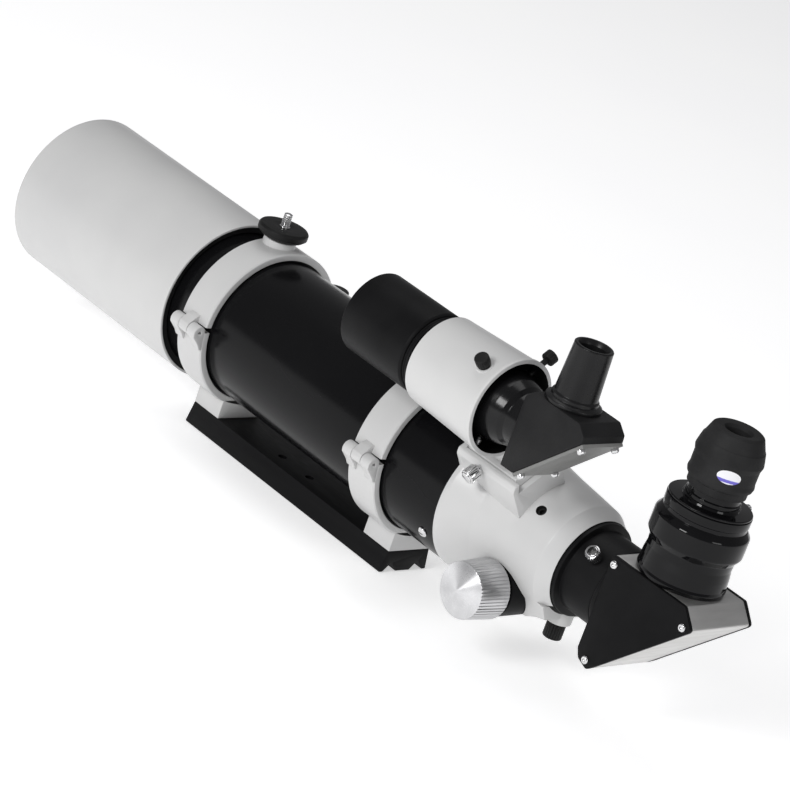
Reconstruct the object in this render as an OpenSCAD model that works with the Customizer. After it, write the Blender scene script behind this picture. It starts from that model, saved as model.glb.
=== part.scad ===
// Refractor telescope, 80 mm aperture, on two hinged rings and a dovetail bar,
// with a Crayford focuser, a mirror diagonal, an eyepiece and a right-angle finder.
// +Y points at the sky, +Z is up, and the origin is the centre of the bar's underside.

/* [Main tube] */
// Height of the optical axis above the underside of the dovetail bar
axis_height = 84.3; // [83.8:0.1:85]
// Outside diameter of the main tube
tube_diameter = 105; // [104.6:0.1:105]
// Wall of the main tube
tube_wall = 1.5; // [1.2:0.1:1.5]
// Front end of the main tube, measured forward from the origin
tube_front = 165; // [163:0.5:165]
// Clear aperture of the objective
aperture = 80; // [76:1:80]

/* [Dew shield] */
// Outside diameter of the dew shield
dew_diameter = 119.4; // [119:0.2:121]
// Wall of the dew shield
dew_wall = 1.8; // [1.5:0.1:2]
// Rear end of the dew shield
dew_rear = 125.8; // [124:0.2:130]
// Length of the dew shield
dew_length = 180; // [150:5:200]

/* [Rings and bar] */
// Distance between the middles of the two rings
ring_pitch = 188.6; // [186:0.2:188.6]
// Width of a ring along the tube
ring_width = 27; // [24:0.5:27]
// Outside radius of a ring
ring_outer = 59; // [58.6:0.1:59.4]
// Length of the dovetail bar
bar_length = 215.6; // [215:0.2:220]
// Width of the dovetail bar at its underside
bar_width = 43.8; // [43:0.1:45]
// Thickness of the dovetail bar
bar_thickness = 15.4; // [15:0.1:15.8]

/* [Focuser] */
// Outside radius of the drawtube
drawtube_radius = 29; // [28.5:0.1:29]
// Radius of the focus drive shaft
shaft_radius = 5; // [4:0.1:5]
// Distance of the drive shaft behind the origin
shaft_back = 213.6; // [213:0.1:215]

/* [Diagonal and eyepiece] */
// Outside radius of the barrels that plug in
barrel_radius = 25.4; // [25.38:0.01:25.4]
// Distance of the upright eyepiece axis behind the origin
eyepiece_back = 320; // [319:0.5:321]

/* [Finder] */
// Sideways place of the finder's axis, left of the main axis
finder_left = 70; // [69.8:0.1:70.2]
// Height of the finder's axis above the origin
finder_height = 174; // [173.8:0.1:174.2]
// Outside radius of the finder's dew shield
finder_dew_radius = 28.6; // [28:0.1:29]

/* [Hidden] */
$fn = 96;
running = 0.06;
gap = 0.3;
tube_r = tube_diameter / 2;
tube_rear = -160.5;
dew_r = dew_diameter / 2;
dew_front = dew_rear + dew_length;
lens_r = aperture / 2 + 1.5;
ring_inner = tube_r + 1.5;
front_ring_y = ring_pitch / 2;
stud_y = front_ring_y + 3.7;
rear_ring_y = -ring_pitch / 2;
split = 2;
hinge_x = -63;
hinge_z = 82;
knuckle_r = 5;
knuckle_l = 8.6;
clamp_x = 68.5;
foot_half = 19.5;
bar_top_half = bar_width / 2 - 2.9;
stud_r = 3.175;
shank_r = 3.8;
shaft_y = -shaft_back;
shaft_z = axis_height - drawtube_radius - shaft_radius - gap;
block_r = 18.6;
house_rear = -253;
adapter_front = house_rear - gap;
adapter_rear = -287.5;
finder_x = -finder_left;
shoe_angle = 128;
finder_ring_y = -145;
bracket_front = -138;
bracket_rear = -203.4;
bracket_bore = 27.5;
tilt_y = -191;
shoe_screw_y = -183;
screw_angles = [134, 40];
plunger_angle = 261;
plate_outline = [[-288, 116], [-352, 116], [-363, 104], [-305, 45], [-300, 40.5], [-291, 44], [-288, 50]];
plate_screw_yz = [[-291.6, 110.8], [-356, 103.6], [-297.4, 46]];
body_half = 27;
plate_thick = 3;
eye_y = -eyepiece_back;

// A round piece about a line along Y: each point of the outline is [radius, y].
module turned(outline, x = 0, z = axis_height)
    translate([x, 0, z]) rotate([-90, 0, 0]) rotate_extrude() polygon(outline);

// A round piece about an upright line: each point of the outline is [radius, z].
module turned_up(outline, x = 0, y = eye_y)
    translate([x, y, 0]) rotate_extrude() polygon(outline);

// A straight tube or ring along Y between two places.
module tube_y(outer, inner, y0, y1, x = 0, z = axis_height)
    turned([[inner, y0], [outer, y0], [outer, y1], [inner, y1]], x, z);

// A bar along Y.
module rod_y(r, y0, y1, x = 0, z = axis_height)
    translate([x, y0, z]) rotate([-90, 0, 0]) cylinder(h = y1 - y0, r = r);

// Places its children on a radius of the line at (x, z), with their +Z pointing outwards.
module radial(angle, y, x = 0, z = axis_height)
    translate([x, y, z]) rotate([0, 90 - angle, 0]) children();

// A thumbscrew along +Z: a plain shank from z = low to z = seat, and a head with ribs.
module thumbscrew(shank, low, seat, head, tall, ribs) {
    translate([0, 0, low]) cylinder(h = seat - low + 1, r = shank);
    difference() {
        translate([0, 0, seat]) cylinder(h = tall, r = head);
        for (i = [0 : ribs - 1])
            rotate([0, 0, i * 360 / ribs])
                translate([head + 0.1, 0, seat + 1]) cylinder(h = tall, r = 0.5, $fn = 6);
    }
}

/* ---- main tube and objective ---- */

module main_tube() color("black") difference() {
    tube_y(tube_r, tube_r - tube_wall, tube_rear, tube_front);
    for (a = [-147, -27, 93])
        radial(a, -150) translate([0, 0, tube_r - 4]) cylinder(h = 8, r = 2.1);
}

module baffle(y, opening) tube_y(tube_r - tube_wall - 0.05, opening, y, y + 1.2);

module tube_baffles() color("black") {
    baffle(80, 38);
    baffle(0, 34);
    baffle(-80, 31);
}

module objective_cell() color("black") turned([
    [aperture / 2, 151], [tube_r - tube_wall - 0.05, 151], [tube_r - tube_wall - 0.05, tube_front],
    [dew_r - dew_wall - 0.05, tube_front], [dew_r - dew_wall - 0.05, 188], [lens_r + 0.1, 188],
    [lens_r + 0.1, 169], [aperture / 2, 169]
]);

// How far a spherical face of radius r has curved away at distance d from its axis.
function sag(r, d) = r - sqrt(r * r - d * d);

// Points of a curved face from the axis out to the rim, bulging towards +Y when bulge is 1.
function face(y, r, rim, bulge, steps = 10) =
    [for (i = [0 : steps]) [rim * i / steps, y - bulge * sag(r, rim * i / steps)]];

function flip(points) = [for (i = [len(points) - 1 : -1 : 0]) points[i]];

// Front lens: both faces bulge. Rear lens: a hollow front face and a flat back.
module objective_front_lens() color("lightcyan")
    turned(concat(face(177, 250, lens_r, -1), flip(face(185, 250, lens_r, 1))));

module objective_rear_lens() color("lightcyan")
    turned(concat([[0, 169.2], [lens_r, 169.2]], flip(face(176.2, 250, lens_r, -1))));

module lens_retaining_ring() color("black") tube_y(lens_r, aperture / 2, 181.9, 188);

module dew_shield() color("white") turned([
    [tube_r + 0.8, dew_rear], [dew_r - 0.8, dew_rear], [dew_r, dew_rear + 0.8], [dew_r, dew_front - 0.6],
    [dew_r - 0.6, dew_front], [dew_r - dew_wall, dew_front], [dew_r - dew_wall, dew_rear + 3],
    [tube_r + 0.8, dew_rear + 3]
]);

/* ---- dovetail bar and rings ---- */

module bar_notch(x) translate([x, 0]) polygon([[-6, -0.1], [6, -0.1], [0.6, 6.2], [-0.6, 6.2]]);

module dovetail_bar() color("black") difference() {
    translate([0, bar_length / 2, 0]) rotate([90, 0, 0]) linear_extrude(bar_length) difference() {
        polygon([
            [-bar_width / 2, 0], [bar_width / 2, 0], [bar_width / 2, 1.2],
            [bar_top_half, bar_thickness], [-bar_top_half, bar_thickness], [-bar_width / 2, 1.2]
        ]);
        bar_notch(-12.5);
        bar_notch(12.5);
    }
    for (y = [front_ring_y, rear_ring_y], dy = [-7, 7]) translate([0, y + dy, -1]) {
        cylinder(h = 30, r = 2.8);
        cylinder(h = 7.5, r = 4.9);
    }
    for (y = [24, -6]) translate([-5, y, bar_thickness - 2]) cylinder(h = 5, r = 3.2);
}

module ring_bolts() color("silver")
    for (y = [front_ring_y, rear_ring_y], dy = [-7, 7]) translate([0, y + dy, 0]) difference() {
        union() {
            translate([0, 0, 1.2]) cylinder(h = 5.3, r = 4.7);
            translate([0, 0, 6]) cylinder(h = 17, r = 2.5);
        }
        translate([0, 0, 1]) cylinder(h = 3.5, r = 2.4, $fn = 6);
    }

module ring_band(y, low, high) intersection() {
    tube_y(ring_outer, ring_inner, y - ring_width / 2, y + ring_width / 2);
    translate([-80, y - ring_width, axis_height + low]) cube([160, 2 * ring_width, high - low]);
}

module knuckle(y0, y1) rod_y(knuckle_r, y0, y1, hinge_x, hinge_z);

module pin_hole(y) rod_y(1.5 + running, y - ring_width, y + ring_width, hinge_x, hinge_z);

module ring_base(y) color("white") difference() {
    union() {
        ring_band(y, -80, -split);
        difference() {
            translate([-foot_half, y - ring_width / 2, bar_thickness])
                cube([2 * foot_half, ring_width, axis_height - bar_thickness - 50]);
            rod_y(ring_inner, y - ring_width, y + ring_width);
        }
        for (side = [-1, 1])
            translate([0, y + side * (ring_width / 2 - knuckle_l / 2), 0]) {
                knuckle(-knuckle_l / 2, knuckle_l / 2);
                translate([hinge_x - knuckle_r, -knuckle_l / 2, 66])
                    cube([12, knuckle_l, hinge_z - 66]);
            }
        translate([56, y - 9, 67]) cube([20.5, 18, 14]);
    }
    pin_hole(y);
    rod_y(ring_inner, y - ring_width, y + ring_width);
    // room for the middle knuckle and its arm, and a slant under the outer knuckles
    translate([0, y, 0])
        rod_y(knuckle_r + gap, knuckle_l - ring_width / 2, ring_width / 2 - knuckle_l, hinge_x, hinge_z);
    translate([hinge_x - knuckle_r - gap, y - ring_width / 2 + knuckle_l, hinge_z - gap])
        cube([12 + 2 * gap, ring_width - 2 * knuckle_l, 5]);
    translate([hinge_x - 16.5, y - ring_width, 57]) rotate([0, 30, 0]) cube([10, 2 * ring_width, 24]);
    translate([clamp_x, y, 60]) cylinder(h = 30, r = 3.8);
    for (dy = [-7, 7]) translate([0, y + dy, 0]) cylinder(h = 40, r = 2.6);
}

module front_ring_base() ring_base(front_ring_y);
module rear_ring_base() ring_base(rear_ring_y);

module ring_top(y) difference() {
    union() {
        ring_band(y, split, 80);
        // middle knuckle and the arm that carries it
        translate([0, y, 0]) {
            knuckle(-ring_width / 2 + knuckle_l + gap, ring_width / 2 - knuckle_l - gap);
            translate([hinge_x - knuckle_r, -ring_width / 2 + knuckle_l + gap, hinge_z])
                cube([12, ring_width - 2 * knuckle_l - 2 * gap, 15]);
        }
        translate([56, y - 9, 86.5]) cube([20.5, 18, 9]);
    }
    pin_hole(y);
    rod_y(ring_inner, y - ring_width, y + ring_width);
    translate([clamp_x, y, 60]) cylinder(h = 60, r = 3.06);
    for (side = [-1, 1])
        translate([0, y + side * (ring_width / 2 - knuckle_l / 2), 0])
            rod_y(knuckle_r + gap, -knuckle_l / 2 - gap, knuckle_l / 2 + gap, hinge_x, hinge_z);
}

module front_ring_top() color("white") difference() {
    union() {
        ring_top(front_ring_y);
        intersection() {
            translate([0, stud_y, axis_height + ring_inner + 1]) cylinder(h = 8, r1 = 13, r2 = 11.6);
            translate([-20, front_ring_y - ring_width / 2, 100]) cube([40, ring_width, 60]);
        }
    }
    rod_y(ring_inner, front_ring_y - ring_width, front_ring_y + ring_width);
    translate([0, stud_y, axis_height + ring_inner - 1]) cylinder(h = 12, r = shank_r + 0.02);
}

module rear_ring_top() color("white") ring_top(rear_ring_y);

module felt(y, low, high) intersection() {
    tube_y(ring_inner - 0.05, tube_r + 0.35, y - ring_width / 2 + 1, y + ring_width / 2 - 1);
    translate([-80, y - ring_width, axis_height + low]) cube([160, 2 * ring_width, high - low]);
}

module ring_base_felts() color("dimgray") {
    felt(front_ring_y, -80, -split - 1);
    felt(rear_ring_y, -80, -split - 1);
}

module front_ring_felt() color("dimgray") felt(front_ring_y, split + 1, 80);
module rear_ring_felt() color("dimgray") felt(rear_ring_y, split + 1, 80);

module ring_hinge_pins() color("silver")
    for (y = [front_ring_y, rear_ring_y])
        rod_y(1.5, y - ring_width / 2 + 1.5, y + ring_width / 2 - 1.5, hinge_x, hinge_z);

module clamp_screw(y) color("black")
    translate([clamp_x, y, 0]) thumbscrew(3, 72, 95.6, 8.5, 15, 12);

module front_clamp_screw() clamp_screw(front_ring_y);
module rear_clamp_screw() clamp_screw(rear_ring_y);

// A plain shank through the boss and the disc, then the threaded end.
module piggyback_stud() color("silver") translate([0, stud_y, 0]) {
    translate([0, 0, axis_height + ring_inner + 0.4]) cylinder(h = 18.1, r = shank_r);
    translate([0, 0, 156]) cylinder(h = 10.1, r = stud_r);
}

module piggyback_disc() color("black") translate([0, stud_y, 0]) difference() {
    turned_up([
        [shank_r + running, 147.6], [8, 147.6], [9, 148.6], [15.5, 149.2], [18, 151.5], [18, 155],
        [16.5, 156.6], [shank_r + running, 156.6]
    ], 0, 0);
    for (i = [0 : 23])
        rotate([0, 0, i * 15]) translate([18.2, 0, 140]) cylinder(h = 30, r = 0.5, $fn = 6);
}

/* ---- focuser ---- */

// Shoe for the finder's foot: local x runs across the shoe and local z outwards.
module shoe_frame() translate([0, 0, axis_height]) rotate([0, 90 - shoe_angle, 0]) children();

module dovetail_slot(top, bottom, low, high, y0, y1)
    translate([0, y1, 0]) rotate([90, 0, 0]) linear_extrude(y1 - y0)
        polygon([[-bottom, low], [bottom, low], [top, high], [-top, high]]);

module focuser_housing() color("white") difference() {
    union() {
        turned([
            [35.5, tube_rear - 0.2], [53.2, tube_rear - 0.2], [53.2, -164], [50, -174], [45.5, -187],
            [43.2, -206], [41.2, -227], [39.4, -243], [37.4, -246.6], [33.8, house_rear],
            [29.6, house_rear], [29.6, -248], [35.5, -246]
        ]);
        tube_y(tube_r - tube_wall - 0.05, 47, tube_rear - 0.3, -141);
        shoe_frame() translate([-20, -216, 38]) cube([40, 55, 26.5]);
        // keel under the housing, which the drive block crosses
        intersection() {
            translate([0, -196, 0]) rotate([90, 0, 0]) linear_extrude(54)
                polygon([[-27, 55], [-15, 36.5], [15, 36.5], [27, 55]]);
            translate([-30, 0, 0]) rotate([90, 0, 90]) linear_extrude(60) polygon([
                [-250, 46], [-240, 42.5], [-229, 36.5], [-199, 36.5], [-196, 40], [-196, 56], [-250, 56]
            ]);
        }
        translate([0, -244, 41]) cylinder(h = 14, r = 9);
    }
    rod_y(35.5, -246, tube_rear + 1);
    shoe_frame() dovetail_slot(13.4, 16.2, 58, 66, -217, -165);
    shoe_frame() translate([-14.8, shoe_screw_y, 61.5]) rotate([0, -90, 0]) cylinder(h = 12, r = 2.06);
    translate([-60, shaft_y, shaft_z]) rotate([0, 90, 0]) cylinder(h = 120, r = block_r + gap);
    translate([0, -244, 36]) cylinder(h = 22, r = 3.06);
    radial(138.5, -224) translate([0, 0, 38.5]) cylinder(h = 8, r = 3.6);
    for (a = [-147, -27, 93])
        radial(a, -150) translate([0, 0, tube_r - 6]) cylinder(h = 8, r = 1.9);
}

module focuser_screws() color("silver")
    for (a = [-147, -27, 93]) radial(a, -150) {
        translate([0, 0, tube_r - 5]) cylinder(h = 6, r = 1.8);
        translate([0, 0, tube_r + 0.1]) difference() {
            cylinder(h = 2.2, r1 = 3.8, r2 = 2.8);
            translate([-0.4, -2.4, 1.2]) cube([0.8, 4.8, 2]);
            translate([-2.4, -0.4, 1.2]) cube([4.8, 0.8, 2]);
        }
    }

// Four rollers that press the drawtube down on the drive shaft.
module focuser_bearings() color("silver")
    for (y = [-205, -238], a = [45, 135])
        radial(a, y) translate([-2.5, 0, drawtube_radius + 3.35]) rotate([0, 90, 0])
            cylinder(h = 5, r = 3);

module shaft_block() color("black") difference() {
    translate([-38, shaft_y, shaft_z]) rotate([0, 90, 0]) cylinder(h = 76, r = block_r);
    rod_y(35.7, -240, -180);
    translate([-40, shaft_y, shaft_z]) rotate([0, 90, 0]) cylinder(h = 80, r = shaft_radius + running);
    translate([-40, shaft_y - 20, 20]) cube([80, 40, 13.2]);
}

module drawtube() color("black") difference() {
    tube_y(drawtube_radius, 26.6, adapter_front, -120);
    // shallow wear track where the shaft drives the tube
    translate([-4, -251, axis_height - drawtube_radius - 1]) cube([8, 128, 1.1]);
}

module focus_shaft() color("silver")
    translate([-60, shaft_y, shaft_z]) rotate([0, 90, 0]) cylinder(h = 122, r = shaft_radius);

// A focus knob along +Z: a ribbed drum with a shallow cone on its outer face.
module focus_knob(r_face, r_back, length, ribs) difference() {
    union() {
        cylinder(h = length, r1 = r_back, r2 = r_face);
        translate([0, 0, length]) cylinder(h = 3.8, r1 = r_face - 0.6, r2 = 0.2);
    }
    for (i = [0 : ribs - 1])
        rotate([0, 0, i * 360 / ribs])
            translate([r_back + 0.2, 0, 2]) cylinder(h = length - 4, r = 0.9, $fn = 6);
}

module left_focus_knob() color("silver") difference() {
    translate([-41, shaft_y, shaft_z]) rotate([0, -90, 0]) focus_knob(18.6, 20, 25, 30);
    translate([-60.1, shaft_y, shaft_z]) rotate([0, 90, 0]) cylinder(h = 30, r = shaft_radius + 0.02);
}

module right_focus_knob() color("silver") difference() {
    translate([41, shaft_y, shaft_z]) rotate([0, 90, 0]) focus_knob(18.6, 20, 16, 30);
    translate([30, shaft_y, shaft_z]) rotate([0, 90, 0]) cylinder(h = 40, r = shaft_radius + 0.02);
    translate([56, shaft_y, shaft_z]) rotate([0, 90, 0]) cylinder(h = 10, r = 20);
}

module fine_focus_knob() color("black") difference() {
    translate([62.5, shaft_y, shaft_z]) rotate([0, 90, 0]) union() {
        cylinder(h = 12, r = 11);
        translate([0, 0, 12]) cylinder(h = 2, r1 = 11, r2 = 8);
    }
    for (i = [0 : 27])
        translate([63.5, shaft_y, shaft_z]) rotate([i * 360 / 28, 0, 0])
            translate([0, 11.2, 0]) rotate([0, 90, 0]) cylinder(h = 10, r = 0.6, $fn = 6);
}

module tension_screw() color("black") translate([0, -244, 0]) rotate([180, 0, 0])
    thumbscrew(3, -54, -40, 6.5, 11, 12);

/* ---- adapter, diagonal and eyepiece ---- */

module eyepiece_adapter() color("black") difference() {
    turned([
        [barrel_radius + running, adapter_rear], [28.6, adapter_rear], [29.1, adapter_rear + 0.5],
        [29.1, -256], [33.6, -256], [33.6, adapter_front], [26.5, adapter_front], [26.5, -244],
        [barrel_radius + running, -244]
    ]);
    for (a = [140, 20]) radial(a, -271) translate([0, 0, 20]) cylinder(h = 12, r = 2.06);
}

module adapter_screw(angle) color("silver") radial(angle, -271) thumbscrew(2, 26, 29.5, 5, 9, 12);
module adapter_screw_left() adapter_screw(140);
module adapter_screw_right() adapter_screw(20);

module diagonal_nose() color("silver") turned([
    [23.6, -291], [25.2, -291], [25.2, -288.1], [barrel_radius, -288.1], [barrel_radius, -259.6],
    [24.8, -259], [23.6, -259]
]);

module diagonal_outline(inset) polygon([for (p = plate_outline)
    [p[0] + (p[0] > -320 ? -inset : inset), p[1] + (p[1] > 80 ? -inset : inset)]]);

module slab_x(x0, x1, inset = 0)
    translate([x0, 0, 0]) rotate([90, 0, 90]) linear_extrude(x1 - x0) diagonal_outline(inset);

// The mirror's face is local z = 0, on the crossing of the two barrels' axes.
module mirror_frame() translate([0, eye_y, axis_height]) rotate([-45, 0, 0]) children();

module diagonal_body() color("silver") difference() {
    slab_x(-body_half, body_half, 0.2);
    rod_y(25.24, -292, -280);
    // the two bores meet on the mirror, in its slanted pocket
    intersection() {
        union() {
            rod_y(23.6, -360, -280);
            translate([0, eye_y, 40]) cylinder(h = 95, r = 23.6);
        }
        mirror_frame() translate([-40, -70, 0]) cube([80, 140, 90]);
    }
    mirror_frame() translate([-24.5, -30.5, -9.2]) cube([49, 61, 9.5]);
    for (x = [-body_half - 1, body_half - 7], p = plate_screw_yz)
        translate([x, p[0], p[1]]) rotate([0, 90, 0]) cylinder(h = 8, r = 1.3);
}

module diagonal_side_plates() color("black") difference() {
    union() {
        slab_x(-body_half - plate_thick, -body_half - 0.02);
        slab_x(body_half + 0.02, body_half + plate_thick);
    }
    for (p = plate_screw_yz)
        translate([-40, p[0], p[1]]) rotate([0, 90, 0]) cylinder(h = 80, r = 1.5);
}

module diagonal_mirror() color("lightgray")
    mirror_frame() translate([-24, -30, -9]) cube([48, 60, 9]);

module plate_screw(x, side, y, z) translate([x, y, z]) rotate([0, side * 90, 0]) difference() {
    union() {
        translate([0, 0, -8]) cylinder(h = 8.1, r = 1.25);
        cylinder(h = 1.6, r1 = 2.8, r2 = 2);
    }
    translate([0, 0, 0.7]) cylinder(h = 2, r = 1.1, $fn = 6);
}

module diagonal_screws() color("silver")
    for (p = plate_screw_yz, side = [-1, 1])
        plate_screw(side * (body_half + plate_thick + 0.02), side, p[0], p[1]);

module eyepiece_holder() color("black") difference() {
    turned_up([
        [barrel_radius + running, 116.02], [29, 116.02], [29.4, 119], [28.5, 127], [27.6, 133],
        [28.2, 138], [31.1, 143], [31.1, 156], [28.5, 159], [27.4, 160], [27.4, 162.4],
        [28, 163], [28, 168.6], [barrel_radius + running, 168.6]
    ]);
    translate([0, eye_y, 165.4]) rotate([0, 0, -8]) rotate([0, 90, 0]) cylinder(h = 40, r = 1.56);
}

module holder_screw() color("silver")
    translate([0, eye_y, 165.4]) rotate([0, 0, -8]) rotate([0, 90, 0]) thumbscrew(1.5, 26, 28.3, 3.2, 6, 12);

module eyepiece_barrel() color("silver") turned_up([
    [23.6, 128], [25, 128], [barrel_radius, 128.5], [barrel_radius, 168.9], [23.6, 168.9]
]);

module eyepiece_body() color("black") turned_up([
    [15, 168.92], [27.4, 168.92], [27.6, 169.2], [27.6, 170.2], [27.2, 170.6], [18, 170.8],
    [17.2, 172], [17.4, 208], [10, 208], [10, 205], [15, 203]
]);

module eyepiece_lenses() color("lightcyan") {
    turned_up([[0, 134], [21, 134], [23.55, 136], [23.55, 142], [21, 144], [0, 144]]);
    turned_up([[0, 192], [14.95, 193], [14.95, 200], [0, 202]]);
}

module eyecup() color("black") turned_up([
    [17.45, 179], [19.4, 179.5], [19.6, 184.5], [21.2, 185.4], [21.5, 200], [22.4, 204.5],
    [21.4, 209], [16.8, 219], [15.4, 220], [9.5, 219.5], [8.6, 217], [9, 208.05], [17.45, 208.05]
]);

/* ---- finder ---- */

module shoe_screw() color("silver") shoe_frame()
    translate([-15.8, shoe_screw_y, 61.5]) rotate([0, -90, 0]) thumbscrew(2, 0, 4.5, 5.2, 11, 12);

module finder_bracket() color("white") difference() {
    union() {
        turned([
            [26, bracket_rear], [34.2, bracket_rear], [34.2, -201], [33.6, -200.6],
            [30.9, bracket_front], [26, bracket_front]
        ], finder_x, finder_height);
        shoe_frame() translate([-9, -200, 65]) cube([18, 48, 22]);
        shoe_frame() dovetail_slot(13.1, 15.9, 58.3, 65.2, -212, -166);
        for (a = screw_angles)
            radial(a, tilt_y, finder_x, finder_height) translate([0, 0, 31]) cylinder(h = 2.9, r = 5.5);
    }
    turned([
        [0, -212], [31.8, -212], [29.2, -156], [bracket_bore, -152], [bracket_bore, -130], [0, -130]
    ], finder_x, finder_height);
    for (a = screw_angles)
        radial(a, tilt_y, finder_x, finder_height) cylinder(h = 50, r = 2.06);
    radial(plunger_angle, tilt_y, finder_x, finder_height) cylinder(h = 50, r = 2.6);
}

module bracket_lock_nuts() color("black")
    for (a = screw_angles) radial(a, tilt_y, finder_x, finder_height)
        translate([0, 0, 33.95]) difference() {
            cylinder(h = 1.6, r = 4.3);
            translate([0, 0, -1]) cylinder(h = 5, r = 2.06);
        }

module bracket_screw(angle, seat) color("black")
    radial(angle, tilt_y, finder_x, finder_height) thumbscrew(2, 26.5, seat, 4.8, 6, 12);
module bracket_screw_left() bracket_screw(screw_angles[0], 35.7);
module bracket_screw_right() bracket_screw(screw_angles[1], 42);

module bracket_plunger() color("silver")
    radial(plunger_angle, tilt_y, finder_x, finder_height) {
        translate([0, 0, 27]) cylinder(h = 8, r = 2.58);
        translate([0, 0, 26.4]) cylinder(h = 2, r = 1.5);
    }

module finder_tube() color("black") turned([
    [15, -226], [18, -226], [18.4, -214], [24.8, -196], [25.2, -190], [25.2, -148], [24.2, -147.6],
    [24.2, -142.4], [25.2, -142], [25.2, -137.6], [26.2, -137.4], [26.2, -134.4], [23.4, -134.4],
    [23.4, -190], [16, -213], [15, -216]
], finder_x, finder_height);

module finder_o_ring() color("black") translate([finder_x, finder_ring_y, finder_height])
    rotate([-90, 0, 0]) rotate_extrude() translate([25.6, 0]) circle(r = 1.3, $fn = 24);

module finder_lock_ring() color("black")
    tube_y(27, 23.5, -134.2, -130.4, finder_x, finder_height);

module finder_cell() color("black") turned([
    [24.6, -130], [27.6, -130], [finder_dew_radius, -128.6], [finder_dew_radius, -71],
    [finder_dew_radius - 0.6, -70.4], [finder_dew_radius - 1.6, -70.4], [finder_dew_radius - 1.8, -116],
    [25.6, -116], [25.6, -119.8], [24.6, -119.8]
], finder_x, finder_height);

module finder_lens() color("lightcyan")
    turned(concat(face(-121.8, 150, 25.5, -1), flip(face(-115.4, 150, 25.5, 1))), finder_x, finder_height);

module prism_outline() polygon([
    [-226.1, 196], [-231, 201], [-272, 201], [-279, 195], [-279.5, 190.5], [-237, 148], [-226.1, 148]
]);

module prism_housing() color("black") difference() {
    translate([finder_x - 19, 0, 0]) rotate([90, 0, 90]) linear_extrude(38) prism_outline();
    rod_y(15, -262, -220, finder_x, finder_height);
    translate([finder_x, -247.5, 170]) cylinder(h = 40, r = 12);
    translate([finder_x - 15, -254, 160]) cube([30, 22, 31]);
}

// Right-angle roof prism, with its long face against the slanted cover.
module prism() color("lightcyan")
    translate([finder_x - 14.5, 0, 0]) rotate([90, 0, 90]) linear_extrude(29)
        polygon([[-233, 161], [-233, 190.5], [-252, 190.5], [-252, 180]]);

module prism_plate() color("gray") difference() {
    union() {
        translate([finder_x - 18.5, 0, 0]) rotate([90, 0, 90]) linear_extrude(37)
            polygon([[-279.6, 190.36], [-237.1, 147.86], [-238.6, 146.36], [-281.1, 188.86]]);
        for (x = [-15.5, 15.5], p = [[-240.9, 149.5], [-277.3, 185.9]])
            translate([finder_x + x, p[0], p[1]]) rotate([135, 0, 0]) cylinder(h = 3.6, r1 = 2.6, r2 = 1.6);
    }
}

module finder_eyepiece() color("black") turned_up([
    [11, 201.04], [18.4, 201.04], [18.4, 203.4], [16, 205.2], [14.3, 207], [12.8, 239.6],
    [12.2, 240.5], [10.4, 240.5], [9, 237.5], [9, 232], [0, 231], [0, 227], [11, 226.5]
], finder_x, -247.5);

main_tube();
tube_baffles();
objective_cell();
objective_front_lens();
objective_rear_lens();
lens_retaining_ring();
dew_shield();
dovetail_bar();
ring_bolts();
front_ring_base();
rear_ring_base();
front_ring_top();
rear_ring_top();
ring_base_felts();
front_ring_felt();
rear_ring_felt();
ring_hinge_pins();
front_clamp_screw();
rear_clamp_screw();
piggyback_stud();
piggyback_disc();
focuser_housing();
focuser_screws();
focuser_bearings();
shaft_block();
drawtube();
focus_shaft();
left_focus_knob();
right_focus_knob();
fine_focus_knob();
tension_screw();
eyepiece_adapter();
adapter_screw_left();
adapter_screw_right();
diagonal_nose();
diagonal_body();
diagonal_side_plates();
diagonal_mirror();
diagonal_screws();
eyepiece_holder();
holder_screw();
eyepiece_barrel();
eyepiece_body();
eyepiece_lenses();
eyecup();
shoe_screw();
finder_bracket();
bracket_lock_nuts();
bracket_screw_left();
bracket_screw_right();
bracket_plunger();
finder_tube();
finder_o_ring();
finder_lock_ring();
finder_cell();
finder_lens();
prism_housing();
prism();
prism_plate();
finder_eyepiece();
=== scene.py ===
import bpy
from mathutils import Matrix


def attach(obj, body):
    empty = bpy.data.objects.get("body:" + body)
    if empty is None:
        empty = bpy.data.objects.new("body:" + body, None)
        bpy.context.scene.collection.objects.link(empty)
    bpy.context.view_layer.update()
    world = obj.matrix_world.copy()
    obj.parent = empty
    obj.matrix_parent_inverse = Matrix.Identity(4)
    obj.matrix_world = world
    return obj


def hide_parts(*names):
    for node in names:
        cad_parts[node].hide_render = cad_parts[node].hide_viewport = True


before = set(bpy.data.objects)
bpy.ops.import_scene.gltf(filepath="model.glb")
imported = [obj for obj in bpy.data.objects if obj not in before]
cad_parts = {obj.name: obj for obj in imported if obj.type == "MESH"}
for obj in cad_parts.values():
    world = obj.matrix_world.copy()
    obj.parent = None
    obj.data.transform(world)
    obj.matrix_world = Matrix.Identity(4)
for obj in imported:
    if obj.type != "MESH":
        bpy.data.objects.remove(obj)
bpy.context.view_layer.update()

import bmesh
import bpy
import math
from mathutils import Matrix, Vector

# ---------------------------------------------------------------------------
# Main tube: a thin rolled tube in gloss black paint, with three light baffles.
# The helpers below serve every later section. Sizes are in millimetres.
# ---------------------------------------------------------------------------
MM = 0.001
AXIS = 84.3
EYE_Y = -320
RING_Y = (94.3, -94.3)
STUD_Y = 98
ALONG = (0, 1, 0)
UP = (0, 0, 1)


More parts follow.
